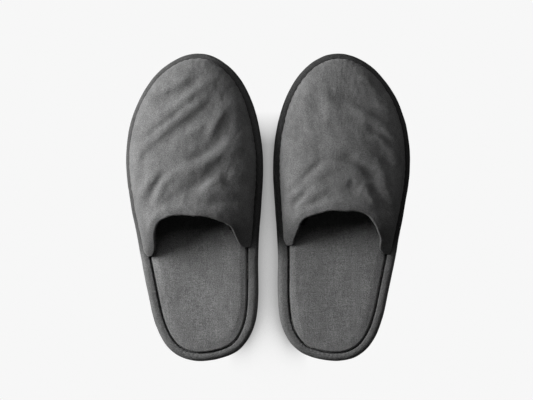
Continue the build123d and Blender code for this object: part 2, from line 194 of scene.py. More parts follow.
def loop_body(rows, flip=False, round_ends=0.0):
    """Closed body from a loop of rows, each (cols, 3), with its two ends rounded off and capped."""
    g = np.array(rows)
    if round_ends:
        for end in (0, -1):
            sec = g[:, end]
            prev = g[:, 1 if end == 0 else -2]
            c = sec.mean(0)
            d = c - g[:, 3 if end == 0 else -4].mean(0)
            d /= np.linalg.norm(d)
            extra = []
            for a in np.linspace(0, math.pi / 2, 8)[1:]:
                k = max(math.cos(a), 0.02)
                extra.append(c + (sec - c) * k + d * round_ends * math.sin(a))
            extra = np.stack(extra, 1)
            g = np.concatenate([extra[:, ::-1], g], 1) if end == 0 else np.concatenate([g, extra], 1)
    nr, nc = g.shape[:2]
    verts = g.reshape(-1, 3)
    faces = ring_faces(nr, nc, True, False)
    a, b = len(verts), len(verts) + 1
    verts = np.vstack([verts, g[:, 0].mean(0), g[:, -1].mean(0)])
    for r in range(nr):
        r2 = (r + 1) % nr
        faces.append((a, r * nc, r2 * nc))
        faces.append((b, r2 * nc + nc - 1, r * nc + nc - 1))
    if flip:
        faces = [tuple(reversed(f)) for f in faces]
    return verts, faces


def grid_normals(p):
    du, dv = np.gradient(p, axis=1), np.gradient(p, axis=0)
    n = np.cross(dv, du)
    return n / np.maximum(np.linalg.norm(n, axis=2), 1e-9)[:, :, None]


def calm(n, times):
    for _ in range(times):
        n = np.concatenate([n[:, :1], (n[:, :-2] + 2 * n[:, 1:-1] + n[:, 2:]) / 4, n[:, -1:]], axis=1)
        n = np.concatenate([n[:1], (n[:-2] + 2 * n[1:-1] + n[2:]) / 4, n[-1:]], axis=0)
    return n / np.linalg.norm(n, axis=2)[:, :, None]


# ------------------------------------------------------------------ materials
def nodes_of(mat):
    mat.use_nodes = True
    nt = mat.node_tree
    nt.nodes.clear()
    out = nt.nodes.new("ShaderNodeOutputMaterial")
    b = nt.nodes.new("ShaderNodeBsdfPrincipled")
    nt.links.new(b.outputs[0], out.inputs[0])
    return nt, b


def new(nt, kind, **values):
    n = nt.nodes.new(kind)
    for k, v in values.items():
        if hasattr(n, k) and k not in n.inputs:
            setattr(n, k, v)
        else:
            n.inputs[k].default_value = v
    return n


def mapped(nt, scale, rot=(0, 0, 0)):
    tc = nt.nodes.new("ShaderNodeTexCoord")
    m = nt.nodes.new("ShaderNodeMapping")
    m.inputs["Scale"].default_value = scale
    m.inputs["Rotation"].default_value = rot
    nt.links.new(tc.outputs["Object"], m.inputs["Vector"])
    return m.outputs[0]


def noise(nt, vec, scale, detail=3.0, rough=0.55):
    n = nt.nodes.new("ShaderNodeTexNoise")
    n.inputs["Scale"].default_value = scale
    n.inputs["Detail"].default_value = detail
    n.inputs["Roughness"].default_value = rough
    nt.links.new(vec, n.inputs["Vector"])
    return n.outputs["Fac"]


def ramp(nt, fac, stops):
    r = nt.nodes.new("ShaderNodeValToRGB")
    while len(r.color_ramp.elements) < len(stops):
        r.color_ramp.elements.new(0.5)
    for e, (p, c) in zip(r.color_ramp.elements, stops):
        e.position = p
        e.color = (*c, 1) if len(c) == 3 else c
    nt.links.new(fac, r.inputs[0])
    return r.outputs[0]


def math_node(nt, op, a, b):
    m = nt.nodes.new("ShaderNodeMath")
    m.operation = op
    for i, v in enumerate((a, b)):
        if isinstance(v, (int, float)):
            m.inputs[i].default_value = v
        else:
            nt.links.new(v, m.inputs[i])
    return m.outputs[0]


def mix_colour(nt, kind, fac, a, b):
    m = nt.nodes.new("ShaderNodeMix")
    m.data_type = "RGBA"
    m.blend_type = kind
    m.inputs[0].default_value = fac if isinstance(fac, (int, float)) else 0.5
    if not isinstance(fac, (int, float)):
        nt.links.new(fac, m.inputs[0])
    for i, v in ((6, a), (7, b)):
        if isinstance(v, tuple):
            m.inputs[i].default_value = (*v, 1)
        else:
            nt.links.new(v, m.inputs[i])
    return m.outputs[2]


def bump(nt, b, heights):
    """heights: list of (height socket, distance in metres, strength)"""
    last = None
    for h, dist, strength in heights:
        n = nt.nodes.new("ShaderNodeBump")
        n.inputs["Distance"].default_value = dist
        n.inputs["Strength"].default_value = strength
        nt.links.new(h, n.inputs["Height"])
        if last is not None:
            nt.links.new(last, n.inputs["Normal"])
        last = n.outputs[0]
    nt.links.new(last, b.inputs["Normal"])


def grey(v, tint=(1.0, 1.0, 1.0)):
    return tuple(v * t for t in tint)


def velour(name, dark, mid, light, sheen=0.25, weave=False, brushed=1.0, tint=(1.0, 1.0, 1.0), front_pile_and_shade=1.0):
    mat = bpy.data.materials.new(name)
    nt, b = nodes_of(mat)
    v = mapped(nt, (1, 1, 1))
    streak = mapped(nt, (1.0, 0.45, 1.0), (0, 0, 0.5))
    big = noise(nt, v, 38, 3.0, 0.6)                 # lighter and darker patches where the pile lies over, 25 mm
    brush = noise(nt, streak, 150, 4.0, 0.65)        # brush marks, 6 mm
    pile = noise(nt, v, 1500, 2.0, 0.7)              # tufts of pile, 0.7 mm
    fine = noise(nt, v, 3600, 1.0, 0.5)
    mixed = math_node(nt, "ADD", math_node(nt, "MULTIPLY", big, 0.45), math_node(nt, "MULTIPLY", brush, 0.55))
    base = ramp(nt, mixed, [(0.30, grey(dark, tint)), (0.5, grey(mid, tint)), (0.70, grey(light, tint))])
    speck = ramp(nt, pile, [(0.32, (0.42, 0.42, 0.42)), (0.5, (1.0, 1.0, 1.0)), (0.68, (1.60, 1.60, 1.60))])
    col = mix_colour(nt, "MULTIPLY", 1.0, base, speck)
    heights = [(brush, 0.0012 * brushed, 0.5), (pile, 0.0007, 0.75), (fine, 0.0003, 0.5)]
    if weave:
        across = noise(nt, mapped(nt, (95, 1000, 400)), 1.0, 3.0, 0.6)     # weft, 1 mm threads
        along = noise(nt, mapped(nt, (1000, 95, 400)), 1.0, 3.0, 0.6)      # warp
        both = math_node(nt, "MULTIPLY", math_node(nt, "ADD", across, along), 0.5)
        weave_col = ramp(nt, both, [(0.36, (0.84, 0.84, 0.84)), (0.64, (1.15, 1.15, 1.15))])
        col = mix_colour(nt, "MULTIPLY", 1.0, col, weave_col)
        heights.insert(0, (both, 0.0005, 0.5))
    if front_pile_and_shade != 1.0:                                       # darker round the toe end of the sole: partly the pile lying the other way, partly painted shade from the vamp
        sep = nt.nodes.new("ShaderNodeSeparateXYZ")
        nt.links.new(v, sep.inputs[0])
        col = mix_colour(nt, "MULTIPLY", 1.0, col, ramp(nt, math_node(nt, "ADD", sep.outputs[1], 0.5), [(0.452, (1.0, 1.0, 1.0)), (0.470, grey(front_pile_and_shade))]))
    nt.links.new(col, b.inputs["Base Color"])
    b.inputs["Roughness"].default_value = 0.95
    b.inputs["Specular IOR Level"].default_value = 0.15
    b.inputs["Sheen Weight"].default_value = sheen
    b.inputs["Sheen Roughness"].default_value = 0.42
    b.inputs["Sheen Tint"].default_value = (1.0, 1.0, 1.0, 1)
    bump(nt, b, heights)
    return mat


def plain_soft(name, a, c, scale, depth, rough=0.85, spec=0.3, sheen=0.0):
    mat = bpy.data.materials.new(name)
    nt, b = nodes_of(mat)
    v = mapped(nt, (1, 1, 1))
    n1, n2 = noise(nt, v, scale, 4.0, 0.6), noise(nt, v, scale * 0.06, 3.0, 0.6)
    both = math_node(nt, "ADD", math_node(nt, "MULTIPLY", n1, 0.6), math_node(nt, "MULTIPLY", n2, 0.4))
    nt.links.new(ramp(nt, both, [(0.3, a), (0.7, c)]), b.inputs["Base Color"])
    r = ramp(nt, n2, [(0.3, grey(rough - 0.08)), (0.7, grey(min(rough + 0.08, 1.0)))])
    nt.links.new(r, b.inputs["Roughness"])
    b.inputs["Specular IOR Level"].default_value = spec
    b.inputs["Sheen Weight"].default_value = sheen
    bump(nt, b, [(n1, depth, 0.6)])
    return mat


V_UPPER = velour("velour_upper", 0.071, 0.096, 0.125, sheen=0.15)
# the two rim copies differ only in the painted shade over the toe end, which is deeper on the right slipper because it
# lies in the left slipper's shadow
V_RIM_RIGHT_PAINTED_SHADE = velour("velour_rim", 0.072, 0.094, 0.117, sheen=0.03, brushed=0.6, front_pile_and_shade=0.36)
V_RIM_LEFT_PAINTED_SHADE = velour("velour_rim_left", 0.072, 0.094, 0.117, sheen=0.03, brushed=0.6, front_pile_and_shade=0.52)
V_BED = velour("velour_footbed", 0.108, 0.134, 0.160, sheen=0.10, weave=True, brushed=0.5)
V_LINING = velour("velour_lining", 0.04, 0.06, 0.08, sheen=0.1, brushed=0.5)
M_RUBBER = plain_soft("foam_rubber", (0.014, 0.014, 0.015), (0.028, 0.028, 0.03), 900, 0.0003, 0.8, 0.35)
M_FOAM = plain_soft("foam_core", (0.45, 0.44, 0.41), (0.62, 0.61, 0.58), 1400, 0.0003)
M_BOARD = plain_soft("fibre_board", (0.30, 0.22, 0.14), (0.42, 0.32, 0.21), 700, 0.0002)
M_THREAD = plain_soft("thread", (0.018, 0.018, 0.019), (0.04, 0.04, 0.042), 2500, 0.0001, 0.7, 0.4, 0.2)
M_LABEL = plain_soft("label_tape", (0.003, 0.003, 0.003), (0.007, 0.007, 0.007), 2200, 0.0001, 0.75, 0.12, 0.0)


def repaint(node, mat):
    o = NODES[node]
    if not o.material_slots:
        o.data.materials.append(mat)
    for s in o.material_slots:
        s.material = mat


# ------------------------------------------------------------------ folds of the two vamps
# (points in plan, height, half width): a soft ridge, or a valley if the height is negative, along a curve, in mm
FOLDS = {
    -1: [
        ([(117.9, 92.7), (104.2, 102.2), (89.2, 109.1), (75.6, 117.2), (66.1, 126.8)], 1.1, 4.0),
        ([(107.0, 92.7), (89.2, 100.2), (75.6, 106.3), (64.7, 117.2), (53.8, 126.8)], -1.5, 5.5),
        ([(123.3, 60.0), (113.8, 69.5), (98.8, 79.1), (85.1, 90.0), (70.1, 103.6), (56.5, 112.5), (36.1, 122.7)], 1.9, 4.4),
        ([(122.0, 53.2), (108.3, 65.4), (93.3, 77.7), (79.7, 88.6)], -0.9, 3.0),
        ([(113.8, 43.6), (104.2, 58.6), (89.2, 73.6), (72.9, 86.6), (57.9, 98.1), (45.6, 107.7)], 1.6, 4.0),
        ([(107.0, 43.6), (94.7, 58.6), (82.4, 69.5), (68.8, 79.1), (55.1, 90.0), (41.5, 106.3)], -1.7, 6.0),
        ([(89.2, 51.8), (75.6, 62.7), (66.1, 70.9), (57.9, 79.1)], 0.7, 5.0),
        ([(56.5, 60.0), (49.7, 72.2), (44.2, 81.8), (36.1, 92.7)], 1.4, 3.4),
        ([(52.4, 53.2), (42.9, 65.4), (36.1, 76.3), (30.6, 87.2)], -1.2, 5.0),
        ([(77.0, 43.6), (62.0, 47.0), (49.7, 55.9), (38.8, 66.8)], -1.7, 4.0),
        ([(96.1, 24.5), (79.7, 32.7), (60.6, 38.2), (45.6, 47.0), (33.3, 58.6), (21.1, 69.5)], 2.0, 4.6),
        ([(38.8, 43.6), (27.9, 53.2), (18.3, 60.0)], 0.8, 4.0),
        ([(79.7, 12.3), (63.3, 20.4), (52.4, 30.0), (42.9, 39.5)], -2.5, 4.6),
        ([(66.1, 8.2), (52.4, 20.4), (41.5, 27.2), (36.1, 32.7)], 1.2, 4.2),
        ([(47.0, 34.1), (38.8, 24.5), (27.9, 18.4), (18.3, 17.7)], -1.6, 4.6),
        ([(36.1, 35.4), (27.9, 30.0), (18.3, 27.2)], 0.9, 4.4),
        ([(68.8, -0.0), (55.1, 10.9), (41.5, 15.7), (30.6, 10.9), (21.1, -1.4)], 1.4, 5.0),
        ([(60.6, -4.1), (47.0, 4.1), (34.7, 4.1), (25.2, -4.1)], -0.9, 4.0),
        ([(119.2, -9.6), (116.5, 8.2), (109.7, 20.4), (98.8, 31.3), (87.9, 39.5)], 1.7, 4.0),
        ([(109.7, -8.2), (105.6, 10.9), (97.4, 25.9), (86.5, 35.4)], -1.8, 3.2),
        ([(104.2, -6.8), (98.8, 12.3), (89.2, 25.9), (75.6, 31.3)], 1.5, 3.8),
        ([(93.3, -0.0), (82.4, 10.9), (68.8, 16.3)], -0.8, 4.0),
        ([(122.0, 34.1), (116.5, 49.1), (108.3, 60.0), (98.8, 68.2)], 1.2, 3.6),
        ([(119.2, 24.5), (113.8, 40.9), (104.2, 53.2), (93.3, 62.7)], -1.3, 4.4),
        ([(47.0, 102.2), (38.8, 106.3), (27.9, 106.3)], -0.8, 6.0),
        ([(40.2, 87.2), (33.3, 92.7), (25.2, 90.0)], 0.7, 5.0),
        ([(122.0, -0.0), (120.6, 13.6), (117.9, 24.5)], -0.8, 3.2),
    ],
    1: [
        ([(73.5, 125.4), (84.4, 120.0), (95.3, 113.1), (104.9, 103.6), (115.8, 92.7)], 1.5, 3.6),
        ([(89.9, 120.0), (96.7, 113.1), (103.5, 106.3), (110.3, 99.5)], -2.2, 3.2),
        ([(61.2, 106.3), (73.5, 100.9), (85.8, 96.8), (100.8, 92.0), (114.4, 83.1)], -2.4, 6.0),
        ([(92.6, 96.8), (104.9, 92.7), (115.8, 85.9)], 0.9, 2.8),
        ([(66.7, 96.8), (78.9, 88.6), (92.6, 80.4), (104.9, 72.2), (114.4, 62.7), (121.9, 50.4)], 2.3, 4.6),
        ([(84.4, 73.6), (98.0, 69.5), (110.3, 60.0), (118.5, 49.1)], -2.2, 4.0),
        ([(92.6, 69.5), (106.2, 58.6), (115.8, 46.3), (119.8, 31.3)], 1.8, 3.8),
        ([(89.9, 60.0), (100.8, 49.1), (110.3, 38.2), (115.8, 24.5)], -1.5, 4.6),
        ([(92.6, 43.6), (104.9, 31.3), (111.7, 20.4)], 0.8, 4.0),
        ([(39.4, 109.1), (43.5, 98.1), (47.6, 85.9), (51.7, 79.1)], -0.9, 4.4),
        ([(47.6, 114.5), (51.7, 103.6), (57.1, 92.7), (63.9, 83.1)], 0.9, 4.0),
        ([(28.5, 103.6), (32.6, 92.7), (31.2, 79.1)], 0.6, 4.4),
        ([(24.4, 81.8), (29.9, 70.9), (27.1, 60.0)], -0.6, 4.4),
        ([(12.1, 31.3), (24.4, 35.4), (38.0, 40.9), (49.0, 51.8)], 0.9, 4.4),
        ([(21.7, 20.4), (32.6, 27.2), (43.5, 35.4), (53.0, 39.5)], -1.5, 3.6),
        ([(31.2, 16.3), (43.5, 28.6), (55.8, 36.8), (70.8, 37.5), (84.4, 31.3), (95.3, 20.4)], 1.8, 5.2),
        ([(55.8, 43.6), (70.8, 42.9), (84.4, 38.2), (93.9, 28.6), (100.8, 16.3)], -2.0, 4.6),
        ([(70.8, 24.5), (77.6, 17.7), (84.4, 15.0)], -1.2, 4.4),
        ([(91.2, 24.5), (96.7, 13.6), (103.5, 2.7), (107.6, -9.6)], -3.4, 3.6),
        ([(96.7, 32.7), (106.2, 19.1), (113.0, 6.8), (117.1, -6.8)], 2.0, 3.8),
        ([(84.4, 20.4), (92.6, 9.5), (98.0, -1.4)], 1.4, 3.4),
        ([(14.9, 5.4), (24.4, 12.3), (36.7, 19.1)], 1.2, 3.2),
        ([(16.2, -1.4), (25.8, 5.4), (38.0, 15.0)], -1.3, 2.8),
        ([(23.0, -6.8), (31.2, 4.1), (43.5, 13.6), (55.8, 16.3)], 1.5, 3.4),
        ([(29.9, -8.2), (38.0, -0.0), (49.0, 6.8), (61.2, 8.2)], -1.2, 2.8),
        ([(13.5, 16.3), (21.7, 21.8), (28.5, 27.2)], 0.8, 3.2),
        ([(62.6, 60.0), (78.9, 62.7), (92.6, 60.0)], 0.6, 6.0),
        ([(38.0, 62.7), (46.2, 51.8), (54.4, 46.3)], -0.6, 5.0),
    ],
}


def fold_height(x, y, side):
    h = np.zeros_like(x)
    for pts, amp, wide in FOLDS[side]:
        line, ln = spline(pts, 36, False)
        best = np.full(x.shape, 1e9)
        t = np.zeros_like(x)
        for k, (px, py) in enumerate(line):
            d = (x - px) ** 2 + (y - py) ** 2
            m = d < best
            best[m], t[m] = d[m], k / 35
        d = np.sqrt(best)
        d = d * (1 + 0.16 * lattice(x / 9.0 + amp, y / 9.0, 91))
        along = smooth(t / 0.40) * smooth((1 - t) / 0.40)
        h += (1.3 if side > 0 else 1.2) * amp * along * np.exp(-(d / (wide * (1.40 - 0.40 * along))) ** 2)
    h = 2.8 * np.tanh(h / 2.8)
    seed = 11 if side > 0 else 23
    h += 0.55 * fbm(x, y, 30, seed, 2) + 0.32 * fbm(x + 0.4 * y, y * 0.6, 11, seed + 5, 3) + 0.10 * fbm(x, y, 4.5, seed + 9, 2)
    return h


# ------------------------------------------------------------------ the vamp
def vamp(side):
    edge_side = np.where(O_IN[:, 0] > 0, 5.9, 5.8) if side > 0 else np.where(O_IN[:, 0] > 0, 6.8, 4.3)
    nx2 = O_IN[:, 0] ** 2
    edge_w = edge_side * nx2 + 5.8 * (1 - nx2)
    tip_m, tip_l, wide_m, wide_l = TIPS[side]
    wing = smooth((O_PTS[:, 1] - np.where(MEDIAL, tip_m, tip_l) + 3.0) / 8.0)
    edge = edge_w * wing + (SEAM - 1.6) * (1 - wing)
    m_all = offset(edge)
    apex = int(np.argmax(m_all[:, 1]))
    med, lat = m_all[m_all[:, 0] <= m_all[apex, 0]], m_all[m_all[:, 0] >= m_all[apex, 0]]
    med, lat = med[np.argsort(med[:, 1])], lat[np.argsort(lat[:, 1])]
    toe_y = float(m_all[apex, 1])

    def height(x, y):
        xl, xr = np.interp(y, med[:, 1], med[:, 0]), np.interp(y, lat[:, 1], lat[:, 0])
        c, w = (xl + xr) / 2, np.maximum((xr - xl) / 2, 1e-6)
        xi = np.clip((x - c) / w, -1, 1)
        ys = y - (tip_m + tip_l) / 2 - 41.5 + (tip_m - tip_l) / 2 * xi
        zc = 17.2 + (SIDE_Z - 17.2) * smooth((ys + 41.5) / 30.0)
        h = pchip(ys, *zip(*RIDGE)) - zc
        far = np.clip((y - RIDGE_ROUND) / (toe_y - RIDGE_ROUND), 0, 1)
        return zc + np.maximum(h, 0) * np.sqrt(1 - far**2) * (1 - np.abs(xi) ** VAMP_N) ** (1 / VAMP_N), zc

    start = int(np.argmin(np.where(MEDIAL, np.abs(O_PTS[:, 1] - tip_m), 1e9)))
    stop = int(np.argmin(np.where(~MEDIAL, np.abs(O_PTS[:, 1] - tip_l), 1e9)))
    run = np.arange(start, start + ((stop - start) % NO) + 1) % NO
    nu = 301
    w = np.linspace(0, 1, nu)
    uf = 0.75 * w + 0.25 * (0.5 - 0.5 * np.cos(np.pi * w))
    at = uf * (len(run) - 1)

    def pick(v):
        v = np.asarray(v)[run]
        if v.ndim == 1:
            return np.interp(at, np.arange(len(run)), v)
        return np.stack([np.interp(at, np.arange(len(run)), v[:, k]) for k in range(v.shape[1])], 1)

    bo, bn, bs, be = pick(O_PTS), pick(O_IN), pick(SEAM), pick(edge)
    bn /= np.linalg.norm(bn, axis=1)[:, None]
    bm = bo + bn * be[:, None]
    line, _ = spline([tuple(bm[0] + bn[0] * wide_m), *THROATS[side], tuple(bm[-1] + bn[-1] * wide_l)], 2001, False)
    dirs = np.gradient(line, axis=0)
    dirs /= np.linalg.norm(dirs, axis=1)[:, None]
    g = pchip(uf, [0, 0.064, 0.292, 0.68, 0.909, 1.0], [0, 0.21, 0.345, 0.56, 0.70, 1.0])
    bt = np.stack([np.interp(g, np.linspace(0, 1, 2001), line[:, k]) for k in (0, 1)], 1)
    td = np.stack([np.interp(g, np.linspace(0, 1, 2001), dirs[:, k]) for k in (0, 1)], 1)
    tn = np.stack([td[:, 1], -td[:, 0]], 1)
    tip = np.minimum(uf, 1 - uf) * (len(run) / NO) * O_LEN
    mix = smooth(tip / 22.0)[:, None]
    tn = tn * mix + bn * (1 - mix)
    tn /= np.linalg.norm(tn, axis=1)[:, None]
    span = np.linalg.norm(bt - bm, axis=1)
    thick_u = 0.74 + 0.26 * smooth(tip / 24.0)
    rr = 2.0 * thick_u                                   # half the padded thickness: radius of the rolled edge

    def top(f):
        f = np.asarray(f, float)[:, None]
        k = (0.75 * span)[:, None]
        p = ((2 * f**3 - 3 * f**2 + 1) * bm + (f**3 - 2 * f**2 + f) * k * bn
             + (3 * f**2 - 2 * f**3) * bt + (f**3 - f**2) * k * tn)
        z, _ = height(p[:, 0], p[:, 1])
        return np.column_stack([p, z])

    def low(share):
        _, zc = height(bm[:, 0], bm[:, 1])
        z = BASE_Z + (zc - BASE_Z) * share
        out = 0.5 + np.maximum(bs - be - 0.5, 0) * smooth((z - 14.7) / np.maximum(zc - 14.7, 1e-6))
        return np.column_stack([bo + bn * (bs - out)[:, None], z])

    shares = np.linspace(0, 1, 12)[:-1]
    f_end = 1 - np.minimum(rr, 0.35 * span) / span
    J = 104
    rows, thick, free = [], [], []
    for s in shares:
        rows.append(low(s))
        thick.append(np.full(nu, 0.62 + 0.38 * float(smooth((s - 0.25) / 0.6))))
        free.append(np.full(nu, 0.55 * float(smooth(s * 1.1 - 0.25))))
    for j in range(J + 1):
        share = 1 - math.cos(math.pi / 2 * j / J)
        rows.append(top(f_end * share))
        thick.append(np.ones(nu))
        free.append(0.55 + 0.45 * smooth(share * span / 12.0))
    p = np.array(rows)
    toe = smooth((p[:, :, 1] - 106.0) / 14.0)             # even out the crown over the toes
    toe[:14] = 0
    toe[-12:] = 0
    for _ in range(40):
        z = p[:, :, 2]
        mean = z.copy()
        mean[:, 1:-1] = (z[:, :-2] + z[:, 1:-1] + z[:, 2:]) / 3
        p[:, :, 2] = z * (1 - toe) + mean * toe
    n = grid_normals(p)
    n[:2, :, 2] = 0
    n = calm(n, 3)
    amount = np.array(free) * smooth((tip - 2) / 26.0)[None, :]
    to_edge = np.linalg.norm(p - p[-1][None], axis=2)
    amount *= 0.45 + 0.55 * smooth(to_edge / 16.0)        # the taped edge creases less
    puff = (0.9 * np.exp(-((to_edge - 4.5) / 4.0) ** 2) - 0.7 * np.exp(-((to_edge - 14.0) / 5.5) ** 2)) * smooth((tip - 8) / 30.0)[None, :]
    fh = fold_height(p[:, :, 0], p[:, :, 1], side)
    # gathers along the seam, where the vamp is eased onto the sole round the toe
    arc = (uf * (len(run) / NO) * O_LEN)[None, :] * np.ones((len(p), 1))
    up = np.clip((p[:, :, 2] - 14.0) / 9.0, 0, 1) * np.exp(-np.clip(p[:, :, 2] - 22.0, 0, None) / 9.0)
    gather = 0.34 * up * np.sin(arc / 7.3 * 2 * np.pi + 2.2 * fbm(arc, p[:, :, 2], 22, 5, 2)) * (0.55 + 0.45 * fbm(arc, 0 * arc, 30, 9, 1))
    lumps = 0.55 * np.exp(-(to_edge / 8.0) ** 2) * fbm(p[:, :, 0], p[:, :, 1], 13, 17 if side > 0 else 29, 2) * smooth((tip - 12) / 24.0)[None, :]
    puff = puff + lumps
    puff[:12] = 0
    p = p + n * (fh * amount + puff + gather * smooth((tip - 6) / 20.0)[None, :])[:, :, None]
    n2 = grid_normals(p)
    n2[:2, :, 2] = 0
    n2 = calm(n2, 4)
    th = (np.array(thick) * thick_u[None, :])[:, :, None]

    # rolled throat edge
    last, back = p[-1], p[-3]
    t = last - back
    t /= np.linalg.norm(t, axis=1)[:, None]
    nn = n2[-1]
    nn = nn - t * np.sum(nn * t, axis=1)[:, None]
    nn /= np.linalg.norm(nn, axis=1)[:, None]
    r_ = rr[:, None]
    centre = last - nn * r_
    roll = [centre + nn * r_ * math.cos(a) + t * r_ * math.sin(a) for a in np.linspace(0, math.pi, 13)[1:-1]]
    inner = lambda r, depth: p[r] - n2[r] * th[r] * depth
    last_r = len(p) - 1
    dist = to_edge.mean(axis=1)
    hem = [r for r in range(last_r, 0, -1) if np.median(to_edge[r]) < 8.0]
    hem_rows = [inner(r, 4.0 + (0.35 if 0 < i < len(hem) - 1 else 0.1)) for i, r in enumerate(hem)]
    rest = [r for r in range(hem[-1], 0, -3)] + [0]
    core = [inner(r, 2.4) for r in rest]
    outer_loop = list(p) + roll + hem_rows + core
    lin_from = hem[-1] + 1
    down = [lin_from] + [r for r in range(hem[-1], 0, -1)] + [0]
    lining_loop = [inner(r, 2.7) for r in reversed(down[::2] if down[::2][-1] == 0 else down[::2] + [0])] + [inner(r, 3.95) for r in down]
    return outer_loop, lining_loop, dict(p=p, n=n2, th=th, uf=uf, g=g, edge_t=t, nn=nn, rr=rr)


# ------------------------------------------------------------------ the wrapped sole edge
def rim(side):
    step = 2
    idx = np.arange(0, NO, step)
    o, inn, seam = O_PTS[idx], O_IN[idx], SEAM[idx]
    arc = idx / NO * O_LEN
    q = np.linspace(0, np.pi / 2, 9)
    path = [(7.0, 3.10, 0), (4.4, 3.04, 0)]
    path += [(2.6 - 2.6 * math.sin(a), 5.6 - 2.6 * math.cos(a), 0) for a in q]
    path += [(0.02, 7.6, 0), (0.0, 9.2, 0)]
    path += [(5.0 - 5.0 * math.cos(a), 10.6 + 5.6 * math.sin(a), 0) for a in np.linspace(0.05, np.pi / 2, 15)]
    lip = [(-2.1, 16.1, 1)] + [(-0.45 - 1.1 + 1.1 * math.sin(a), 14.9 + 1.1 * math.cos(a), 1) for a in np.linspace(0.15, np.pi / 2, 9)]
    tail = [(-0.55, 12.9, 1), (-0.5, 12.1, 1), (0.3, 11.75, 1), (2.6, 11.62, 1)]
    d, z = [], []
    for a, b, rel in path + lip + tail:
        d.append(seam + a if rel else np.full(len(idx), a))
        z.append(np.full(len(idx), b))
    d, z = np.array(d), np.array(z)
    # crown of the padded top between roll and seam
    dd, dz = np.gradient(d, axis=0), np.gradient(z, axis=0)
    ln = np.hypot(dd, dz)
    nd, nz = -dz / ln, dd / ln                            # points out of the section
    free = smooth((z - 4.0) / 3.0)
    x0, y0 = o[:, 0][None], o[:, 1][None]
    seed = 31 if side > 0 else 47
    wob = 0.22 * fbm(arc[None] + 0 * z, z * 1.5 + d, 16, seed, 3) - 0.12
    near = np.exp(-((d - seam[None] + 1.6) / 1.6) ** 2) * (z > 12.5)
    pucker = 0.20 * near * np.sin(arc[None] / 4.2 * 2 * np.pi + 1.2 * fbm(arc[None], 0 * z, 25, seed + 3, 2))
    push = (wob + pucker) * free
    push = np.minimum(push, 0.10)
    d2, z2 = d + nd * push, z + nz * push
    inner_d, inner_z = d2 - nd * 0.9, z2 - nz * 0.9
    rows = []
    for a, b in ((d2, z2), (inner_d[::-1], inner_z[::-1])):
        for i in range(len(a)):
            pt = o + inn * a[i][:, None]
            rows.append(np.column_stack([pt, b[i]]))
    g = np.array(rows)
    return g.reshape(-1, 3), ring_faces(g.shape[0], g.shape[1], True, True)


# ------------------------------------------------------------------ the footbed
def footbed(side):
    edge = offset(COVER_EDGE - 0.1)
    seg = np.concatenate([[0], np.cumsum(np.linalg.norm(np.roll(edge, -1, 0) - edge, axis=1))])
    total = seg[-1]
    centre = np.array([66.0, 0.0])

    def where(x, y):                                        # arc position of the edge point nearest to (x, y)
        return seg[int(np.argmin((edge[:, 0] - x) ** 2 + (edge[:, 1] - y) ** 2))]

    # corners of the square grid on the outline, clockwise from the toe's big-toe side
    c = [where(28, 112), where(104, 112), where(98, -112), where(24, -112)]
    c = [c[0] - total if c[0] > c[1] else c[0]] + c[1:]
    nx, ny = 76, 176
    a = np.linspace(-1, 1, nx + 1)
    b = np.linspace(-1, 1, ny + 1)
    A, B = np.meshgrid(a, b, indexing="ij")
    r = np.maximum(np.abs(A), np.abs(B))
    rs = np.maximum(r, 1e-9)
    s = np.zeros_like(A)
    topm = (np.abs(B) >= np.abs(A)) & (B >= 0)
    botm = (np.abs(B) >= np.abs(A)) & (B < 0)
    rig = (np.abs(A) > np.abs(B)) & (A > 0)
    lef = (np.abs(A) > np.abs(B)) & (A < 0)
    s[topm] = c[0] + (c[1] - c[0]) * ((A / rs)[topm] + 1) / 2
    s[rig] = c[1] + (c[2] - c[1]) * (1 - (B / rs)[rig]) / 2
    s[botm] = c[2] + (c[3] - c[2]) * (1 - (A / rs)[botm]) / 2
    s[lef] = c[3] + (c[0] + total - c[3]) * ((B / rs)[lef] + 1) / 2
    s = np.mod(s, total)
    ring = np.vstack([edge, edge[:1]])
    bx, by = np.interp(s, seg, ring[:, 0]), np.interp(s, seg, ring[:, 1])
    rad = 1 - (1 - r) ** 1.5                               # closer rings near the edge
    X, Y = centre[0] + (bx - centre[0]) * rad, centre[1] + (by - centre[1]) * rad
    pts = np.stack([X.ravel(), Y.ravel()], 1)
    dist = np.empty(len(pts))
    for k in range(0, len(pts), 2000):
        q = pts[k:k + 2000]
        dist[k:k + 2000] = np.sqrt(((q[:, None, :] - edge[None, ::2, :]) ** 2).sum(2)).min(1)
    dist = dist.reshape(X.shape)
    dist[r > 0.9999] = 0
    roll = np.sqrt(np.clip(1 - (1 - np.clip(dist / 1.9, 0, 1)) ** 2, 0, 1))
    seed = 61 if side > 0 else 77
    Z = 12.0 + 3.7 * roll + 0.55 * smooth(dist / 9.0)
    middle = 66.0 + 0.02 * (Y + 60)
    Z += 1.8 * np.clip(np.abs(X - middle) / 44.0, 0, 1) ** 2.0 * smooth(dist / 10.0) - 0.45     # dished under the foot
    Z += (0.22 * fbm(X, Y, 34, seed, 2) + 0.08 * fbm(X, Y, 7, seed + 4, 2) - 0.1) * smooth(dist / 6.0)
    Z = np.minimum(Z, SOLE_TOP + 0.35)
    g = np.stack([X, Y, Z], 2)
    n1 = nx + 1, ny + 1
    verts = g.reshape(-1, 3)
    under = verts.copy()
    under[:, 2] = 11.75
    faces = []
    idx = lambda i, j: i * (ny + 1) + j
    base = len(verts)
    for i in range(nx):
        for j in range(ny):
            q = (idx(i, j), idx(i + 1, j), idx(i + 1, j + 1), idx(i, j + 1))
            faces.append(q)
            faces.append(tuple(base + k for k in reversed(q)))
    border = ([idx(i, 0) for i in range(nx)] + [idx(nx, j) for j in range(ny)]
              + [idx(i, ny) for i in range(nx, 0, -1)] + [idx(0, j) for j in range(ny, 0, -1)])
    for k in range(len(border)):
        u, v = border[k], border[(k + 1) % len(border)]
        faces.append((u, base + u, base + v, v))
    return np.vstack([verts, under]), faces


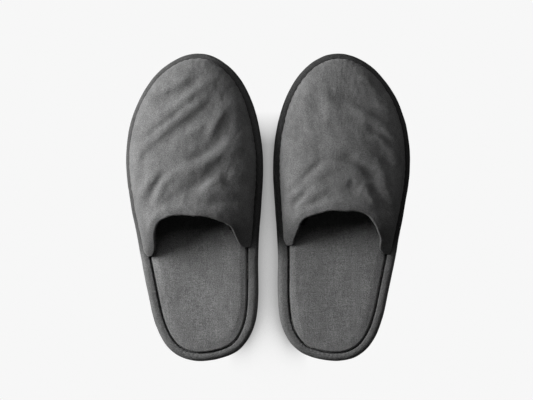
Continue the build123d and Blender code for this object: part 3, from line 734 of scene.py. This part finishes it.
# ------------------------------------------------------------------ stitches, label
def stitches(side):
    line = offset(SEAM + 0.05)
    pitch, ln, rad = 4.2, 3.3, 0.33
    count = int(O_LEN * 0.93 / pitch)
    verts, faces = [], []
    for k in range(count):
        c = k / count * NO
        rows = []
        for t in np.linspace(-1, 1, 7):
            w = (c + t * ln / 2 / (O_LEN * 0.93) * NO) % NO
            i = int(w) % NO
            f = w - int(w)
            pt = line[i] * (1 - f) + line[(i + 1) % NO] * f
            inn = O_IN[i]
            z = 12.28 - 0.34 * abs(t) ** 3
            r = rad * math.sqrt(max(1 - abs(t) ** 4, 0.06))
            rows.append([(pt[0] + inn[0] * r * math.cos(a), pt[1] + inn[1] * r * math.cos(a), z + r * math.sin(a))
                         for a in np.linspace(0, 2 * np.pi, 6, endpoint=False)])
        b = len(verts)
        for row in rows:
            verts += row
        for i in range(6):
            for j in range(6):
                faces.append((b + i * 6 + j, b + i * 6 + (j + 1) % 6, b + (i + 1) * 6 + (j + 1) % 6, b + (i + 1) * 6 + j))
        faces.append(tuple(b + j for j in reversed(range(6))))
        faces.append(tuple(b + 36 + j for j in range(6)))
    return verts, faces


def label(side, info):
    """A folded woven tape sewn under the throat's edge; its loop hangs a little way out past the edge."""
    near = np.array([29.2, -16.6]) if side > 0 else np.array([32.2, -21.4])
    k = int(np.argmin(((info["p"][-1, :, :2] - near) ** 2).sum(1)))
    edge, t, nn, rr = info["p"][-1, k], info["edge_t"][k], info["nn"][k], info["rr"][k]
    along = info["p"][-1, k + 2] - info["p"][-1, k - 2]
    along /= np.linalg.norm(along)
    root = edge - nn * (2 * rr + 0.35)
    w2, th = 4.6, 0.32
    DROP = np.array([0.0, 0.0, -1.0])
    s = np.linspace(0, 1, 19)
    path = []
    for v in s:                                            # out and down, over the fold, and back under
        if v < 0.5:
            u = v / 0.5
            path.append(root + t * (-6 + (11.8 if side > 0 else 10.0) * u) + DROP * u * u * 1.5 - nn * (0.25 + 0.5 * math.sin(u * 2.2)))
        else:
            u = (v - 0.5) / 0.5
            path.append(root + t * ((5.8 if side > 0 else 4.0) - 10.0 * u) + DROP * (1 - u) ** 2 * 1.5 - nn * (1.15 + 0.5 * math.sin(u * 2.6)))
    path = np.array(path)
    cols = np.linspace(-1, 1, 9)
    rows = []
    tang = np.gradient(path, axis=0)
    tang /= np.linalg.norm(tang, axis=1)[:, None]
    nor = np.cross(tang, along)
    for sign in (1, -1):
        order = range(len(path)) if sign > 0 else range(len(path) - 1, -1, -1)
        for i in order:
            rows.append(np.array([path[i] + along * w2 * c + nor[i] * sign * th / 2 - nn * 0.25 * c * c for c in cols]))
    return loop_body(rows)


# ------------------------------------------------------------------ build both slippers
pads = []
for side, name in ((1, "right"), (-1, "left")):
    body = f"{name}_slipper"
    outer, inner, info = vamp(side)
    v, f = loop_body(outer, round_ends=2.4)
    up = piece(f"{name}_vamp", v, f, side, [V_UPPER])
    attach(up, body)
    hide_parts(f"{name}_upper_shell", f"{name}_upper_padding", f"{name}_throat_tape")
    v, f = loop_body(inner)
    li = piece(f"{name}_vamp_lining", v, f, side, [V_LINING])
    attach(li, body)
    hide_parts(f"{name}_upper_lining")
    v, f = rim(side)
    ri = piece(f"{name}_sole_edge", v, f, side, [V_RIM_RIGHT_PAINTED_SHADE if side > 0 else V_RIM_LEFT_PAINTED_SHADE])
    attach(ri, body)
    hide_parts(f"{name}_sole_wrap")
    v, f = footbed(side)
    fb = piece(f"{name}_footbed", v, f, side, [V_BED])
    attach(fb, body)
    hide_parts(f"{name}_footbed_cover", f"{name}_footbed_sponge")
    v, f = stitches(side)
    st = piece(f"{name}_seam_stitches", v, f, side, [M_THREAD])
    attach(st, body)
    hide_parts(f"{name}_seam_thread")
    v, f = label(side, info)
    la = piece(f"{name}_label", v, f, side, [M_LABEL])
    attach(la, body)
    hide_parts(f"{name}_care_label")
    repaint(f"{name}_outsole", M_RUBBER)
    repaint(f"{name}_midsole", M_FOAM)
    repaint(f"{name}_insole_board", M_BOARD)
for o in bpy.context.scene.objects:
    if o.type == "MESH" and o.name.split("_")[0] in ("left", "right") and o.data.users == 1 and o not in NODES.values():
        bpy.context.view_layer.objects.active = o
        bpy.ops.object.mode_set(mode="EDIT")
        bpy.ops.mesh.select_all(action="SELECT")
        bpy.ops.mesh.normals_make_consistent(inside=False)
        bpy.ops.object.mode_set(mode="OBJECT")

# ------------------------------------------------------------------ floor, light, camera
floor_mat = bpy.data.materials.new("floor")
floor_mat.use_nodes = True
nt = floor_mat.node_tree
nt.nodes.clear()
out = nt.nodes.new("ShaderNodeOutputMaterial")
em = nt.nodes.new("ShaderNodeEmission")
ao = nt.nodes.new("ShaderNodeAmbientOcclusion")
ao.samples = 16
ao.inputs["Distance"].default_value = 0.09
# painted shadow on the evenly glowing floor: an ambient occlusion node darkens it strongly in the gap between the
# slippers behind the toes, and only faintly elsewhere
gap_painted_shadow = ramp(nt, ao.outputs["AO"], [(0.0, grey(0.10)), (0.20, grey(0.24)), (0.34, grey(0.32)), (0.60, grey(0.50)), (0.78, grey(0.76)), (0.92, grey(0.93))])
wide = ramp(nt, ao.outputs["AO"], [(0.0, grey(0.45)), (0.2, grey(0.86)), (0.36, grey(0.93))])
tc = nt.nodes.new("ShaderNodeTexCoord")
sep = nt.nodes.new("ShaderNodeSeparateXYZ")
nt.links.new(tc.outputs["Object"], sep.inputs[0])
gapness = ramp(nt, math_node(nt, "MULTIPLY", math_node(nt, "ABSOLUTE", sep.outputs[0], 0.0), 20.0), [(0.35, grey(0.0)), (0.75, grey(1.0))])
beyond = ramp(nt, math_node(nt, "ADD", sep.outputs[1], 0.5), [(0.560, grey(0.0)), (0.590, grey(1.0))])
nt.links.new(mix_colour(nt, "MIX", math_node(nt, "MAXIMUM", gapness, beyond), gap_painted_shadow, wide), em.inputs[0])
nt.links.new(em.outputs[0], out.inputs[0])
n = 9
g = [(x, y, -0.0002) for x in np.linspace(-4, 4, n) for y in np.linspace(-4, 4, n)]
me = bpy.data.meshes.new("floor")
me.from_pydata(g, [], [(i * n + j, (i + 1) * n + j, (i + 1) * n + j + 1, i * n + j + 1) for i in range(n - 1) for j in range(n - 1)])
me.materials.append(floor_mat)
floor = bpy.data.objects.new("floor", me)
bpy.context.scene.collection.objects.link(floor)
floor.visible_diffuse = False                            # the floor shows, but doesn't light the velour from below
floor.visible_glossy = False

world = bpy.data.worlds.new("studio")
bpy.context.scene.world = world
world.use_nodes = True
bg = world.node_tree.nodes.get("Background") or world.node_tree.nodes.new("ShaderNodeBackground")
bg.inputs[0].default_value = (1.0, 1.0, 1.0, 1)
bg.inputs[1].default_value = 0.038


def area(name, loc, aim, size, watts):
    li = bpy.data.lights.new(name, "AREA")
    li.shape = "DISK"
    li.size = size
    li.energy = watts
    o = bpy.data.objects.new(name, li)
    o.location = loc
    d = np.array(aim, float) - np.array(loc, float)
    d /= np.linalg.norm(d)
    from mathutils import Vector
    o.rotation_euler = Vector(d).to_track_quat("-Z", "Y").to_euler()
    bpy.context.scene.collection.objects.link(o)
    return o


area("key", (-0.74, 0.23, 0.335), (-0.02, 0.02, 0.02), 0.55, 19.0)
area("top", (-0.36, 0.62, 1.15), (0, 0, 0), 0.7, 4.4)

area("fill", (0.75, 0.55, 0.75), (0.02, 0.03, 0.03), 0.6, 1.4)

cam = bpy.data.cameras.new("camera")
co = bpy.data.objects.new("camera", cam)
bpy.context.scene.collection.objects.link(co)
co.location = (-0.0015, 0.0068, 1.40)
co.rotation_euler = (0, 0, 0)
cam.sensor_fit = "HORIZONTAL"
cam.sensor_width = 36.0
cam.lens = 36.0 * (1.40 - 0.010) / 0.4957
cam.clip_end = 50
bpy.context.scene.camera = co
bpy.context.scene.view_settings.view_transform = "Standard"
bpy.context.scene.view_settings.look = "None"
